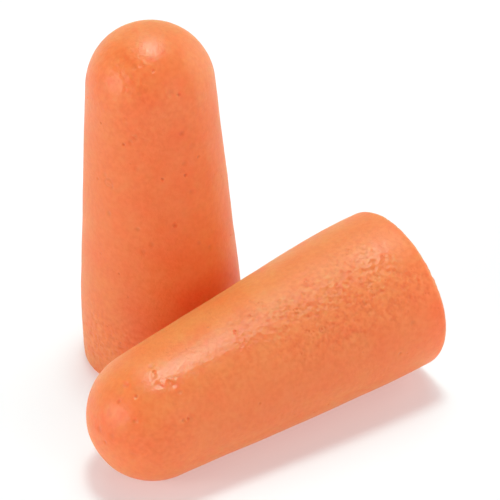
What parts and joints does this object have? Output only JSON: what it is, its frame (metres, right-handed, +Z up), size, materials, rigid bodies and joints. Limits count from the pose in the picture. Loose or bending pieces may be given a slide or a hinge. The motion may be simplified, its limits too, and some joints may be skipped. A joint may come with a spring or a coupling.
{
  "type": "foam ear plugs",
  "caption": "Tapered slow-recovery foam ear plugs with a flat round base, a slight belly and a domed ear end; one stands, the other lies beside it.",
  "frame": {"origin": "centre of the standing plug's flat base, on the surface that both plugs rest on", "axes": "+Z up, along the standing plug's axis from its base to its ear end; -Y towards the viewer; the lying plug is to the front right, its ear end pointing to -X and -Y"},
  "size_m": [0.0243, 0.023, 0.0255],
  "materials": {
    "foam": "matte"
  },
  "bodies": {
    "standing": {"standing_plug": "foam"},
    "lying": {"lying_plug": "foam"}
  },
  "joints": [
    {"name": "lying_plug_lift", "type": "slide", "parent": "standing", "child": "lying", "axis": [0, 0, 1], "range_m": [0, 0.03]}
  ]
}
